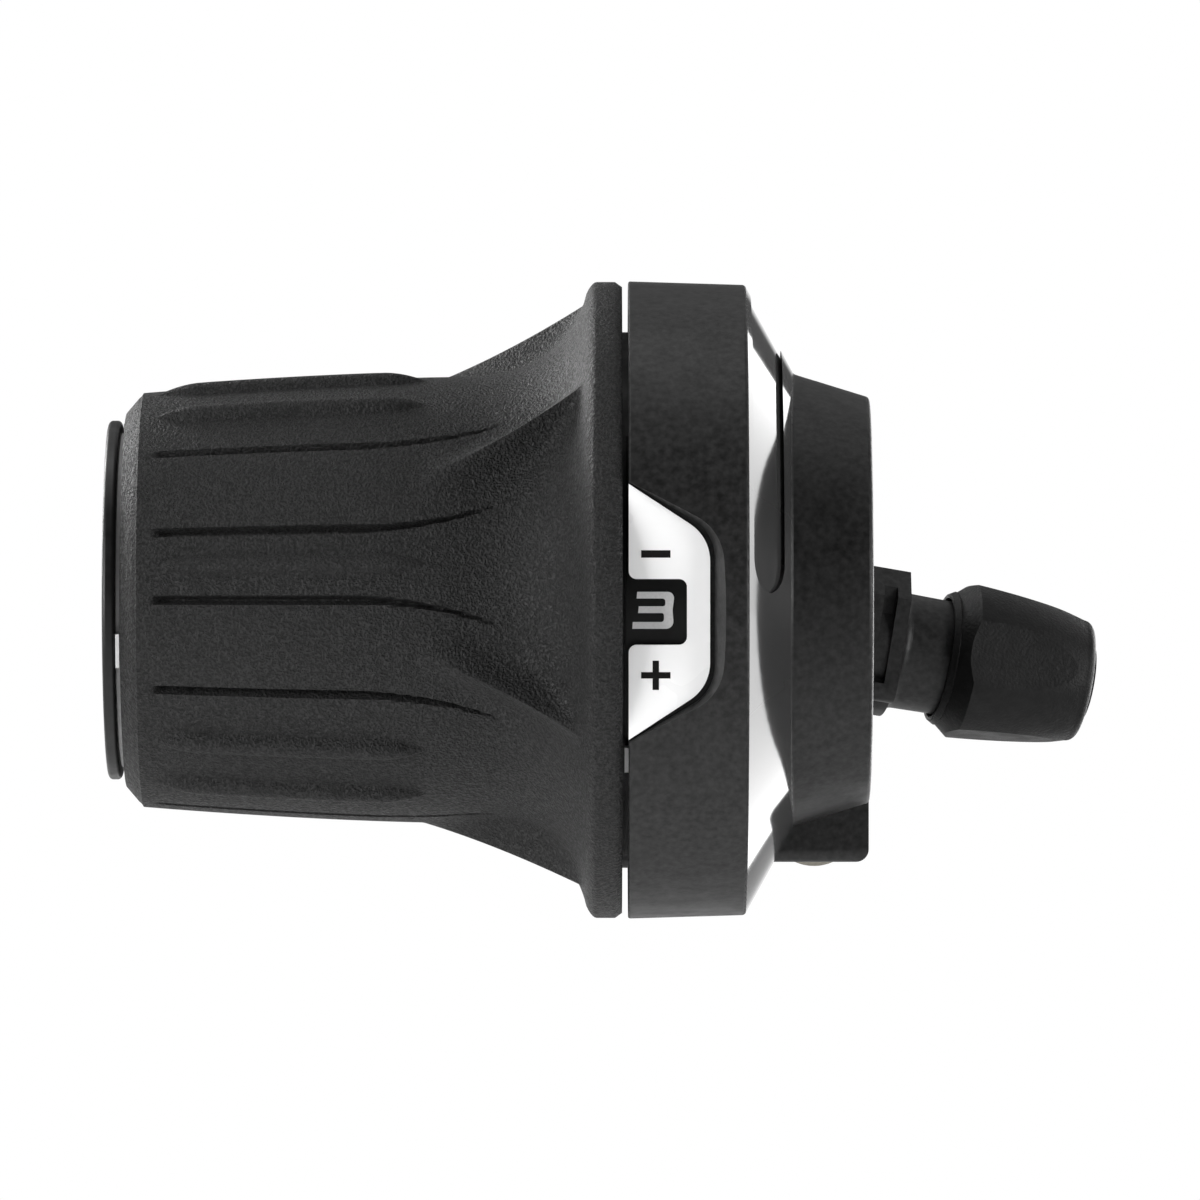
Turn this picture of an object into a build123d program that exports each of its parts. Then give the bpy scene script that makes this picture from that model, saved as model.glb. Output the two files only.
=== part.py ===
from build123d import *
import os
from math import asin, degrees, radians, sin, sqrt

# Left-hand twist grip shifter. X runs along the handlebar from the grip to the housing,
# Z is up and the rider looks along +Y. The origin is on the bar axis, in the plane of the
# housing's open face. Angles round the bar count from the rider's side (-Y) upwards.
# All lengths are millimetres.

# Fits
running_gap = 0.08
seat_gap = 0.03
clear_gap = 0.30
parting_gap = 0.46
cut_margin = 1.00

# Handlebar and sleeve
bar_bore_r = 11.15
sleeve_wall = 1.45
sleeve_spigot_step = 0.40
sleeve_flange_reach = 3.80
sleeve_flange_thick = 1.10
sleeve_screw_angles = (15, 90, 165)
sleeve_screw_r = 1.00
sleeve_screw_head_r = 1.80
sleeve_screw_length = 5.00

# End ring and thrust washers
end_ring_reach = 1.20
end_ring_thick = 1.00
end_ring_round = 0.35
washer_thick = 0.28
washer_reach = 0.20
washer_lug_count = 3
washer_lug_reach = 0.90
washer_lug_angle = 11.0
washer_lug_start = -22.0
inner_washer_thick = 0.40

# Grip: hard core and rubber cover
grip_length = 38.04
core_wall = 1.52
core_flange_thick = 1.50
rubber_wall = 1.72
grip_rise = 1.23
grip_end_chamfer = 1.30
grip_end_land = 0.20
flange_step = 0.05
flange_width = 1.94
flange_round = 0.90
flange_rubber = 1.55
flare_length = 7.00
pattern_count = 3
pattern_angle = 9.2
fin_angles = (30.5, -30.5)
fin_share = 0.41
fin_thick = 1.60
fin_skew = 2.40
fin_rise_share = 0.29
fin_start_slope = 0.25
fin_end_slope = 0.85
rib_angles = (0.0, 51.0, -51.0)
rib_half_widths = (0.70, 0.90, 0.90)
rib_sink = 0.25
rib_point = 3.0
rib_inset = 2.50
rib_overlap = 0.10
groove_angles = (9.3, -9.3, 34.3, -34.3)
groove_width = 0.50
groove_depth = 0.50
groove_bend_run = 4.90
groove_sweep = 1.60
groove_tip_run = 6.10

# Drum, number band and index parts, all on the core's keyed hub
key_count = 3
key_width = 2.0
key_height = 0.5
drum_floor_wall = 1.80
groove_wall_height = 1.20
cable_groove_width = 1.20
drum_rim_thick = 1.20
drum_rim_length = 5.36
drum_web_thick = 1.30
drum_rim_height = 6.40
band_thick = 0.87
band_length = 5.10
band_angles = (-64.0, 35.0)
click_angle = 26.0
click_count = 3
nose_angle = 115.0
sector_thick = 1.60
sector_margin = 11.0
notch_depth = 0.70
notch_half_angle = 4.0
leaf_half_length = 4.90
leaf_thick = 0.45
leaf_width = 1.20
leaf_nose_half = 1.10
leaf_stop = 0.80

# Housing
cavity_gap = 0.90
ring_wall = 2.10
ring_draft = 0.27
ring_length = 8.95
ring_round = 0.35
cone_length = 3.80
cone_wall = 1.60
nose_wall = 6.20
nose_length = 5.75
nose_draft = 1.80
nose_lead = 1.90
nose_root_share = 0.55
nose_fillet = 0.30
nose_round = 0.40
cavity_reach = 1.50
recess_inset = 0.45
recess_length = 2.35
recess_depth = 0.32
recess_angles = (8.0, 172.0)

# Indicator window and plate
plate_angle = -2.30
plate_face = 22.40
plate_thick = 0.65
plate_length = 6.10
plate_half_left = 9.60
plate_half_right = 5.61
plate_corner = 3.30
window_length = 4.37
window_half = 2.47
window_corner = 0.60
moat_width = 0.35
moat_depth = 0.45
scoop_taper = 24.0
ledge_start = 5.30
ledge_thick = 0.60
arm_thick = 0.40
arm_angles = (-35.6, -10.0)
hook_angle = 5.7
hook_reach = 0.30

# Clamp block and bolt
block_drop = 2.80
block_front = -1.00
block_back = 23.30
block_top = 4.50
block_round = 1.00
block_back_round = 4.00
slot_y = 6.00
slot_width = 1.50
bolt_offset = 5.95
bolt_inset = 4.00
bolt_r = 2.00
bolt_head_r = 3.60
bolt_head_height = 4.00
bolt_socket = 1.60
bolt_seat_y = 10.00
nut_width = 6.00
nut_thick = 2.20
nut_y = 0.60

# Cable port at the lower back
port_angles = (212.0, 240.0)
port_start = 1.80
port_length = 6.40
port_cover_thick = 0.70
port_ledge = 1.20
port_screw_r = 0.90
port_screw_head_r = 1.70
port_screw_length = 2.60

# Cable boss, tube and adjuster, along their own slanting axis
boss_reach = 2.15
boss_back = 18.00
boss_drop = 3.84
boss_axis = (1.0, 0.167, -0.171)
boss_height = 10.40
boss_depth = 11.00
boss_lift = 0.90
boss_length = 6.50
boss_round = 1.20
boss_facet = 2.20
boss_pocket_height = 7.60
boss_pocket_depth = 0.80
tube_r = 4.55
tube_draft = 0.10
tube_bore_r = 3.50
tube_base_fillet = 0.80
tube_length = 7.20
keyway_width = 1.60
keyway_depth = 0.60
keyway_floor = 1.50
insert_start = -4.50
insert_end = 1.20
screw_r = 2.10
screw_start = -4.20
screw_bore_r = 2.80
screw_bore_start = -7.20
liner_start = -11.10
liner_r = 1.75
liner_mouth_r = 3.00
liner_mouth_length = 1.60
cable_hole_r = 0.90
coil_wire = 0.55
coil_turns = 5
click_ring_start = 9.90
click_ring_thick = 0.60
click_leg_start = 4.20
knob_start = 3.95
knob_end = 15.60
knob_rim_r = 5.05
knob_chamfer = 1.90
knob_max_r = 6.30
knob_mid_r = 5.85
knob_end_r = 4.80
knob_end_round = 0.70
knob_wall_start = 10.60
knob_skirt_gap = 0.20
knob_flat = 5.85
knob_flat_count = 4
knob_flat_turn = -7.0
casing_r = 2.55
casing_depth = 5.00
casing_wall = 0.50
casing_reach = 0.35
collar_reach = 0.75
collar_start = 11.40
collar_length = 2.40

# Radii and places that follow from the sizes above
sleeve_r = bar_bore_r + sleeve_wall
end_ring_r = sleeve_r + end_ring_reach
core_bore_r = sleeve_r + running_gap
core_r = core_bore_r + core_wall
grip_left = -(parting_gap + grip_length)
washer_left = grip_left - running_gap - washer_thick
ring_face = washer_left - seat_gap
sleeve_left = ring_face - end_ring_thick
grip_end_r = core_r + rubber_wall
grip_root_r = grip_end_r + grip_rise
flange_left = -(parting_gap + flange_width)
flare_start = flange_left - flare_length
fin_start = -fin_share * grip_length
rib_start = grip_left + rib_inset
rib_end = fin_start + rib_overlap
groove_bend = fin_start - groove_bend_run
groove_end = fin_start + groove_tip_run
hub_bore_r = core_r + seat_gap
drum_floor_r = core_r + drum_floor_wall
groove_wall_r = drum_floor_r + groove_wall_height
drum_rim_r = core_r + drum_rim_height
drum_web_end = -parting_gap + drum_rim_length
band_bore_r = drum_rim_r + seat_gap
band_r = band_bore_r + band_thick
cavity_r = band_r + cavity_gap
housing_r = cavity_r + ring_wall
flange_r = housing_r - flange_step
ring_end_r = housing_r - ring_draft
nose_r = bar_bore_r + nose_wall
cavity_depth = ring_length + cavity_reach
cone_end = ring_length + cone_length
housing_end = cone_end + nose_length
nose_end_r = nose_r - nose_draft
cone_slope = (nose_r - ring_end_r) / cone_length
cone_wall_drop = cone_wall * sqrt(1 + cone_slope ** 2)
sleeve_flange_left = cavity_depth - sleeve_flange_thick
sleeve_flange_r = sleeve_r + sleeve_flange_reach
inner_washer_left = sleeve_flange_left - running_gap - inner_washer_thick
core_right = inner_washer_left - running_gap
drum_end = core_right - seat_gap
block_floor = -(nose_r + block_drop)
bolt_x = housing_end - bolt_inset
bolt_z = -(bar_bore_r + bolt_offset)
sector_left = drum_web_end + seat_gap
click_places = [nose_angle - click_angle * step for step in range(click_count)]

boss_place = (housing_end + boss_reach, boss_back, -boss_drop)
adjuster = Plane(origin=boss_place, x_dir=(boss_axis[1], -boss_axis[0], 0), z_dir=boss_axis)


def turned(*points):
    """A solid turned about the bar axis from (x, radius) points."""
    return revolve(Polygon(*points, align=None), Axis.X)


def tube(left, right, inner, outer):
    """A plain tube about the bar axis."""
    return turned((left, inner), (right, inner), (right, outer), (left, outer))


def sector(left, right, inner, outer, low, high):
    """Part of a tube about the bar axis, between two angles from the rider's side."""
    profile = Polygon((left, inner), (right, inner), (right, outer), (left, outer), align=None)
    return revolve(profile, Axis.X, high - low).rotate(Axis.X, 180 - high)


def from_front(shape, angle):
    """Swings a shape made on the rider's side up round the bar."""
    return shape.rotate(Axis.X, -angle)


def from_top(shape, angle):
    """Swings a shape made on top of the bar to an angle from the rider's side."""
    return shape.rotate(Axis.X, 90 - angle)


def block(x_range, y_range, z_range):
    """A box between two corners."""
    middle = [sum(span) / 2 for span in (x_range, y_range, z_range)]
    size = [span[1] - span[0] for span in (x_range, y_range, z_range)]
    return Pos(*middle) * Box(*size)


def rounded(face, corners):
    """Rounds the corners of a flat face that lie nearest the given places."""
    for place, radius in corners:
        corner = face.vertices().sort_by_distance(Vector(*place))[0]
        face = fillet(corner, radius)
    return face


def on_adjuster(*points):
    """A solid turned about the adjuster's axis from (radius, distance out) points."""
    face = Plane.XZ * Polygon(*points, align=None)
    return adjuster.location * revolve(face, Axis.Z)


def adjuster_tube(start, end, inner, outer):
    """A plain tube about the adjuster's axis."""
    return on_adjuster((inner, start), (outer, start), (outer, end), (inner, end))


def adjuster_rod(start, end, radius):
    """A plain rod about the adjuster's axis."""
    return adjuster_tube(start, end, 0, radius)


def cone_radius(x):
    """Outer radius of the housing's cone."""
    return ring_end_r + cone_slope * (x - ring_length)


# Sleeve and what holds it
def bar_sleeve():
    body = tube(sleeve_left, cavity_depth, bar_bore_r, sleeve_r)
    body -= tube(sleeve_left, ring_face, sleeve_r - sleeve_spigot_step, sleeve_r)
    body += tube(sleeve_flange_left, cavity_depth, bar_bore_r, sleeve_flange_r)
    for angle in sleeve_screw_angles:
        body -= sleeve_screw(angle, seat_gap)
    return body - adjuster_rod(liner_start - liner_mouth_length, insert_start, liner_mouth_r + clear_gap)


def sleeve_screw(angle, grow):
    """One countersunk screw, or the hole for it when grown."""
    middle = (sleeve_r + sleeve_flange_r) / 2
    head = sleeve_screw_head_r + grow
    shank = sleeve_screw_r + grow
    sink = sleeve_screw_head_r - sleeve_screw_r
    tip = sleeve_flange_left + sleeve_screw_length + grow
    face = Polygon(
        (sleeve_flange_left, 0), (sleeve_flange_left, head), (sleeve_flange_left + sink, shank),
        (tip, shank), (tip, 0), align=None)
    return from_top(Pos(0, 0, middle) * revolve(face, Axis.X), angle)


def sleeve_screws():
    return [sleeve_screw(angle, 0) for angle in sleeve_screw_angles]


def end_ring():
    bore = sleeve_r - sleeve_spigot_step + seat_gap
    face = Polygon(
        (sleeve_left, bore), (ring_face, bore), (ring_face, end_ring_r), (sleeve_left, end_ring_r),
        align=None)
    edges = [((sleeve_left, end_ring_r), end_ring_round), ((ring_face, end_ring_r), end_ring_round)]
    return revolve(rounded(face, edges), Axis.X)


def outer_thrust_washer():
    bore = sleeve_r + seat_gap
    rim = bore + washer_reach
    right = washer_left + washer_thick
    body = tube(washer_left, right, bore, rim)
    for step in range(washer_lug_count):
        low = washer_lug_start + 360 / washer_lug_count * step
        body += sector(washer_left, right, bore, rim + washer_lug_reach, low, low + washer_lug_angle)
    return body


def inner_thrust_washer():
    right = inner_washer_left + inner_washer_thick
    return tube(inner_washer_left, right, sleeve_r + running_gap, core_r)


# Grip
def grip_core():
    body = tube(grip_left, core_right, core_bore_r, core_r)
    flange = -parting_gap - core_flange_thick
    body += tube(flange, -parting_gap, core_bore_r, flange_r - flange_rubber)
    for step in range(key_count):
        key = block(
            (0, drum_end), (-key_width / 2, key_width / 2), (core_bore_r + seat_gap, core_r + key_height))
        body += key.rotate(Axis.X, 360 / key_count * step)
    return body


def valley_line(drop):
    """The grip's outline between the fins, from its left end to the foot of the flange."""
    chamfer = grip_left + grip_end_chamfer
    foot = (flange_left - flange_round, flange_r - flange_round - drop)
    slope = grip_rise / (flare_start - chamfer)
    return [
        Line((chamfer, grip_end_r - drop), (flare_start, grip_root_r - drop)),
        TangentArc((flare_start, grip_root_r - drop), foot, tangent=(1, slope)),
    ]


def rubber_blank():
    """The turned shape of the rubber, with no fins or ribs."""
    chamfer = grip_left + grip_end_chamfer
    foot = (flange_left - flange_round, flange_r - flange_round)
    shoulder = (flange_left, flange_r)
    rim = (-parting_gap - flange_rubber / 3, flange_r)
    flange_seat = -parting_gap - core_flange_thick - seat_gap
    core_flange_r = flange_r - flange_rubber + seat_gap
    outline = valley_line(0) + [
        Line((grip_left, core_r + grip_end_land), (chamfer, grip_end_r)),
        Line(foot, shoulder),
        Line(shoulder, rim),
        Polyline(
            rim, (-parting_gap, flange_r - flange_rubber / 4), (-parting_gap, core_flange_r),
            (flange_seat, core_flange_r), (flange_seat, core_r + seat_gap),
            (grip_left, core_r + seat_gap), (grip_left, core_r + grip_end_land)),
    ]
    return revolve(make_face(outline), Axis.X)


def fin_crest_solid():
    """The turned solid whose skin is the line of the fins' crests."""
    right_r = flange_r - flange_round
    rise = right_r - flange_round - grip_root_r
    third = (fin_start * 2 + flange_left) / 3
    core = core_r + 2 * seat_gap
    crest = Spline(
        (fin_start, grip_root_r), (third, grip_root_r + fin_rise_share * rise), (flange_left, right_r),
        tangents=[(1, fin_start_slope), (1, fin_end_slope)])
    rest = Polyline((flange_left, right_r), (flange_left, core), (fin_start, core), (fin_start, grip_root_r))
    return revolve(make_face([crest, rest]), Axis.X)


def fin(side):
    """One fin on the rider's side: a blade that leans away from the middle of its pattern."""
    half = fin_thick / 2
    low = -side * fin_skew
    high = side * fin_skew
    plan = Plane.XZ * Polygon(
        (fin_start, low - half / 2), (flange_left, high - half), (flange_left, high + half),
        (fin_start, low + half / 2), align=None)
    return extrude(plan, flange_r) & fin_crest_solid()


def rib(half_width):
    """One rib on the rider's side: a spindle lying half sunk along the cone of the grip."""
    length = rib_end - rib_start
    chamfer = grip_left + grip_end_chamfer
    slope = grip_rise / (flare_start - chamfer)
    start_r = grip_end_r + slope * (rib_start - chamfer)
    spindle = revolve(
        Polygon((0, 0), (rib_point, half_width), (length - rib_point, half_width), (length, 0), align=None),
        Axis.X)
    return Pos(rib_start, -(start_r - rib_sink), 0) * Rot(0, 0, -degrees(asin(slope))) * spindle


def groove(side):
    """One groove on the rider's side: a slit that bends away to a point, down to a turned floor."""
    half = groove_width / 2
    bend = side * groove_sweep / 5
    plan = Plane.XZ * Polygon(
        (rib_start, -half), (groove_bend, -half), (fin_start, bend - half), (groove_end, side * groove_sweep),
        (fin_start, bend + half), (groove_bend, half), (rib_start, half), align=None)
    line = valley_line(groove_depth)
    rest = Polyline(
        line[1] @ 1, (flange_left - flange_round, 0), (grip_left + grip_end_chamfer, 0), line[0] @ 0)
    return extrude(plan, flange_r) - revolve(make_face(line + [rest]), Axis.X)


def grip_rubber():
    body = rubber_blank()
    slits = {side: groove(side) for side in (-1, 1)}
    for step in range(pattern_count):
        turn = pattern_angle + 360 / pattern_count * step
        body += [from_front(fin(angle / abs(angle)), turn + angle) for angle in fin_angles]
        body += [from_front(rib(half), turn + angle) for angle, half in zip(rib_angles, rib_half_widths)]
        body -= [from_front(slits[angle / abs(angle)], turn + angle) for angle in groove_angles]
    return body - tube(grip_left, -parting_gap, 0, core_r + seat_gap)


# Drum, number band and index parts
def cable_drum():
    groove_right = drum_end - groove_wall_height / 2
    groove_left = groove_right - cable_groove_width - groove_wall_height / 2
    slope = groove_wall_height / 4
    shoulder = groove_left - slope
    body = turned(
        (drum_web_end - drum_web_thick, hub_bore_r), (drum_end, hub_bore_r), (drum_end, groove_wall_r),
        (groove_right, groove_wall_r), (groove_right - slope, drum_floor_r), (groove_left, drum_floor_r),
        (shoulder, groove_wall_r), (drum_web_end, groove_wall_r), (drum_web_end, drum_rim_r),
        (-parting_gap, drum_rim_r), (-parting_gap, drum_rim_r - drum_rim_thick),
        (drum_web_end - drum_web_thick, drum_rim_r - drum_rim_thick))
    for step in range(key_count):
        slot = block(
            (0, drum_end), (-key_width / 2 - seat_gap, key_width / 2 + seat_gap),
            (core_bore_r, core_r + key_height + seat_gap))
        body -= slot.rotate(Axis.X, 360 / key_count * step)
    return body


def number_band():
    left = -parting_gap / 2
    return sector(left, left + band_length, band_bore_r, band_r, *band_angles)


def index_sector():
    low = click_places[-1] - sector_margin
    high = click_places[0] + sector_margin
    inner = groove_wall_r + seat_gap
    body = sector(sector_left, sector_left + sector_thick, inner, drum_rim_r, low, high)
    mouth = drum_rim_r + seat_gap
    half = drum_rim_r * sin(radians(notch_half_angle))
    for place in click_places:
        notch = Plane.YZ * Polygon(
            (-half, mouth), (0, drum_rim_r - notch_depth), (half, mouth), align=None)
        cut = Pos(sector_left, 0, 0) * extrude(notch, sector_thick)
        body -= from_top(cut, place)
    return body


def leaf_level():
    """Height of the leaf's top face, so that its ends rest on the cavity wall."""
    return sqrt((cavity_r - running_gap) ** 2 - leaf_half_length ** 2)


def index_spring():
    top = leaf_level()
    tip = drum_rim_r - notch_depth + running_gap
    bottom = top - leaf_thick
    outline = Plane.YZ * Polygon(
        (-leaf_half_length, top), (-leaf_half_length, bottom), (-leaf_nose_half, bottom), (0, tip),
        (leaf_nose_half, bottom), (leaf_half_length, bottom), (leaf_half_length, top),
        (leaf_nose_half, top), (0, tip + leaf_thick), (-leaf_nose_half, top), align=None)
    left = sector_left + (sector_thick - leaf_width) / 2
    return from_top(Pos(left, 0, 0) * extrude(outline, leaf_width), nose_angle)


# Housing
def housing_shell():
    """The turned ring and cone of the housing, hollow for the drum."""
    foot = cone_end - nose_lead / cone_slope
    face = Polygon(
        (0, cavity_r), (0, housing_r), (ring_length, ring_end_r), (foot, nose_r - nose_lead),
        (foot, bar_bore_r), (cavity_depth, bar_bore_r),
        (cavity_depth, cone_radius(cavity_depth) - cone_wall_drop),
        (ring_length + (cavity_r - ring_end_r + cone_wall_drop) / cone_slope, cavity_r), align=None)
    corners = [((0, housing_r), ring_round / 2), ((ring_length, ring_end_r), ring_round)]
    return revolve(rounded(face, corners), Axis.X)


def nose():
    """The nose: it tapers above, below and behind, and leans forward so that its front stays level."""
    steps = cone_length / (2 * nose_length)
    root = Pos(nose_lead * (steps - nose_root_share), 0) * Circle(nose_r + nose_draft * steps)
    tip = Pos(-nose_lead, 0) * Circle(nose_end_r)
    body = loft([Plane.YZ.offset(cone_end - cone_length / 2) * root, Plane.YZ.offset(housing_end) * tip])
    return fillet(body.edges().sort_by(Axis.X)[-1], nose_round)


def cone_recess():
    """The shallow band let into the upper half of the cone, with round ends."""
    left = ring_length + recess_inset
    right = left + recess_length
    sink = recess_depth * sqrt(1 + cone_slope ** 2)
    lift = recess_depth
    face = Polygon(
        (left, cone_radius(left) - sink), (right, cone_radius(right) - sink),
        (right, cone_radius(right) + lift), (left, cone_radius(left) + lift), align=None)
    low, high = recess_angles
    band = revolve(face, Axis.X, high - low).rotate(Axis.X, 180 - high)
    middle = (left + right) / 2
    radius = recess_length * sqrt(1 + cone_slope ** 2) / 2
    lean = Plane(origin=(middle, 0, cone_radius(middle)), z_dir=(-cone_slope, 0, 1))
    end = lean * (Pos(0, 0, lift - recess_depth) * Cylinder(radius, 2 * lift))
    return [band, from_top(end, low), from_top(end, high)]


def clamp_block():
    """The block under and behind the nose that carries the clamp ears and the cable boss."""
    section = rounded(
        Polygon(
            (block_front, block_floor), (block_back, block_floor), (block_back, block_top),
            (block_front, block_top), align=None),
        [((block_front, block_floor), block_round), ((block_back, block_floor), block_back_round),
         ((block_back, block_top), block_back_round)])
    outline = rounded(
        Polygon(
            (ring_length, block_floor), (housing_end, block_floor), (housing_end, block_top),
            (ring_length, block_top), align=None),
        [((housing_end, block_floor), block_round)])
    body = extrude(Plane.YZ.offset(ring_length) * section, housing_end - ring_length)
    body &= extrude(Plane.XZ.offset(-block_back) * outline, block_back - block_front)
    return body & tube(ring_length, housing_end, 0, ring_end_r - seat_gap)


def cable_boss():
    """The rounded boss on the block's end, and the tube that the adjuster screws into."""
    half_depth = boss_depth / 2
    half_height = boss_height / 2
    section = rounded(Rectangle(boss_depth, boss_height), [
        ((-half_depth, -half_height), boss_round), ((-half_depth, half_height), boss_round),
        ((half_depth, half_height), boss_round)])
    section = chamfer(section.vertices().sort_by_distance(Vector(half_depth, -half_height))[0], boss_facet)
    body = adjuster.location * (Pos(0, -boss_lift, -boss_length) * extrude(section, boss_length))
    pocket = Pos(boss_depth / 2, -boss_lift, -boss_length / 4) * Box(
        2 * boss_pocket_depth, boss_pocket_height, boss_length / 6)
    body -= adjuster.location * pocket
    base = tube_r + tube_base_fillet
    root = make_face([
        Polyline((0, -boss_length / 2), (base, -boss_length / 2), (base, 0)),
        RadiusArc((base, 0), (tube_r, tube_base_fillet), tube_base_fillet),
        Polyline((tube_r, tube_base_fillet), (tube_r - tube_draft, tube_length), (0, tube_length),
                 (0, -boss_length / 2)),
    ])
    return body + adjuster.location * revolve(Plane.XZ * root, Axis.Z)


def adjuster_hollow():
    """The bores along the adjuster's axis, and the two keyways of the click ring."""
    body = adjuster_rod(insert_start - seat_gap, tube_length, tube_bore_r)
    body += adjuster_rod(screw_bore_start, insert_start, screw_bore_r)
    mouth_start = liner_start - liner_mouth_length
    body += adjuster_rod(mouth_start, screw_bore_start, liner_r + seat_gap)
    body += adjuster_rod(mouth_start, liner_start + liner_mouth_length, liner_mouth_r + seat_gap)
    width = 2 * (tube_bore_r + keyway_depth)
    middle = (keyway_floor + tube_length) / 2
    ways = Pos(0, 0, middle) * Box(keyway_width, width, tube_length - keyway_floor)
    return body + adjuster.location * ways


def plate_outline(grow):
    """The indicator plate's outline on the rider's side, with X along the bar and Z up."""
    left = -grow
    right = plate_length + grow
    face = Polygon(
        (left, -plate_half_left - grow), (right, -plate_half_right - grow),
        (right, plate_half_right + grow), (left, plate_half_left + grow), align=None)
    corner = plate_corner
    return rounded(face, [
        ((right, plate_half_right + grow), corner), ((right, -plate_half_right - grow), corner)])


def window_outline(left):
    """The window in the plate, open towards the grip."""
    face = Polygon(
        (left, -window_half), (window_length, -window_half), (window_length, window_half), (left, window_half),
        align=None)
    return rounded(face, [
        ((window_length, window_half), window_corner), ((window_length, -window_half), window_corner)])


def from_plate(face, depth, length, taper=0):
    """Pulls a plate-plane outline out towards the rider from a depth in front of the bar axis."""
    solid = Plane.XZ.offset(depth) * extrude(face, length, taper=taper)
    return from_front(solid, plate_angle)


def plate_ledge():
    """The inner ledge that the plate's right edge rests on."""
    back = plate_face - plate_thick - ledge_thick
    shelf = block(
        (ledge_start, cavity_depth - cone_wall), (-cavity_r, -back), (-plate_half_left, plate_half_left))
    return from_front(shelf, plate_angle) & tube(0, ring_length, 0, cavity_r + ring_wall / 2)


def leaf_stops():
    """Two nubs on the cavity wall that keep the leaf from creeping round."""
    stops = []
    for side in (-1, 1):
        near = side * (leaf_half_length + running_gap)
        far = near + side * leaf_stop
        low = leaf_level() - leaf_thick
        nub = block(
            (sector_left, sector_left + sector_thick), tuple(sorted((near, far))), (low, cavity_r))
        stops.append(from_top(nub, nose_angle))
    return stops


def port_middle():
    return sum(port_angles) / 2


def port_screw_solid(grow):
    """The cover's countersunk screw along the housing's radius, or its hole when grown."""
    top = port_cover_r()
    head = port_screw_head_r + grow
    shank = port_screw_r + grow
    sink = port_screw_head_r - port_screw_r
    low = top - port_screw_length - grow
    face = Plane.XZ * Polygon(
        (0, top), (head, top), (shank, top - sink), (shank, low), (0, low), align=None)
    middle = port_start + port_length - port_screw_head_r - port_ledge / 2
    return from_top(Pos(middle, 0, 0) * revolve(face, Axis.Z), port_middle())


def port_cover_r():
    """Radius of the cover's outer face, flush with the smaller end of the ring."""
    return ring_end_r - seat_gap


def cable_port_cover():
    low, high = port_angles
    inner = port_cover_r() - port_cover_thick
    body = sector(port_start, port_start + port_length, inner, port_cover_r(), low, high)
    return body - port_screw_solid(seat_gap)


def cable_port_opening():
    """The seat of the port's cover and the opening under it."""
    low, high = port_angles
    gap = degrees(2 * seat_gap / housing_r)
    ledge = degrees(port_ledge / housing_r)
    inner = port_cover_r() - port_cover_thick - seat_gap
    right = port_start + port_length
    seat = sector(port_start - 2 * seat_gap, right + 2 * seat_gap, inner, housing_r + cut_margin, low - gap, high + gap)
    land = 2 * port_screw_head_r + port_ledge
    hole = sector(port_start + port_ledge, right - land, cavity_r - cut_margin, housing_r, low + ledge, high - ledge)
    return [seat, hole]


def cable_port_screw():
    return port_screw_solid(0)


def clamp_bolt_solid(grow):
    """The clamp bolt across the slot, with its head at the back."""
    tip = nut_y - clear_gap
    shank = Plane.XZ.offset(-tip) * (Pos(bolt_x, bolt_z) * Circle(bolt_r + grow))
    head = Plane.XZ.offset(-bolt_seat_y) * (Pos(bolt_x, bolt_z) * Circle(bolt_head_r + grow))
    return extrude(shank, -(bolt_seat_y - tip)) + extrude(head, -bolt_head_height)


def clamp_bolt():
    socket = Plane.XZ.offset(-bolt_seat_y - bolt_head_height) * (
        Pos(bolt_x, bolt_z) * RegularPolygon(bolt_socket, 6, major_radius=False))
    return clamp_bolt_solid(0) - extrude(socket, bolt_head_height / 2)


def clamp_nut():
    half = nut_width / 2
    body = block(
        (bolt_x - half, bolt_x + half), (nut_y, nut_y + nut_thick), (bolt_z - half, bolt_z + half))
    return body - clamp_bolt_solid(running_gap)


def clamp_cuts():
    """The clamp's slot, the nut's pocket from below and the bolt's holes."""
    slot = block(
        (cavity_depth + nose_round, housing_end + cut_margin),
        (slot_y - slot_width / 2, slot_y + slot_width / 2),
        (block_floor - cut_margin, -bar_bore_r / 2))
    half = nut_width / 2 + seat_gap
    pocket = block(
        (bolt_x - half, bolt_x + half), (nut_y - seat_gap, nut_y + nut_thick + seat_gap),
        (block_floor - cut_margin, bolt_z + half))
    head_room = Plane.XZ.offset(-bolt_seat_y) * (Pos(bolt_x, bolt_z) * Circle(bolt_head_r + clear_gap))
    return [slot, pocket, clamp_bolt_solid(running_gap), extrude(head_room, -block_back)]


def housing_body():
    body = housing_shell() + nose()
    seam = body.edges().sort_by_distance(Vector(cone_end, -nose_r, 0))[0]
    body = fillet(seam, nose_fillet) + clamp_block() + cable_boss()
    body -= tube(cavity_depth, housing_end + cut_margin, 0, bar_bore_r)
    hollow_cone = cone_radius(cavity_depth) - cone_wall_drop
    hollow_corner = ring_length + (cavity_r - ring_end_r + cone_wall_drop) / cone_slope
    body -= turned(
        (-cut_margin, 0), (cavity_depth, 0), (cavity_depth, hollow_cone), (hollow_corner, cavity_r),
        (-cut_margin, cavity_r))
    body += plate_ledge()
    body += leaf_stops()
    body -= cone_recess()
    body -= from_plate(plate_outline(moat_width), plate_face, ring_wall * 2, -scoop_taper)
    body -= from_plate(plate_outline(moat_width), plate_face - moat_depth, moat_depth)
    body -= from_plate(plate_outline(seat_gap), plate_face - plate_thick, plate_thick)
    body -= from_plate(window_outline(-cut_margin), plate_face - 2 * plate_thick, plate_thick)
    body -= [sleeve_screw(angle, seat_gap) for angle in sleeve_screw_angles]
    body -= cable_port_opening()
    body -= port_screw_solid(seat_gap)
    body -= clamp_cuts()
    return body - adjuster_hollow()


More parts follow.
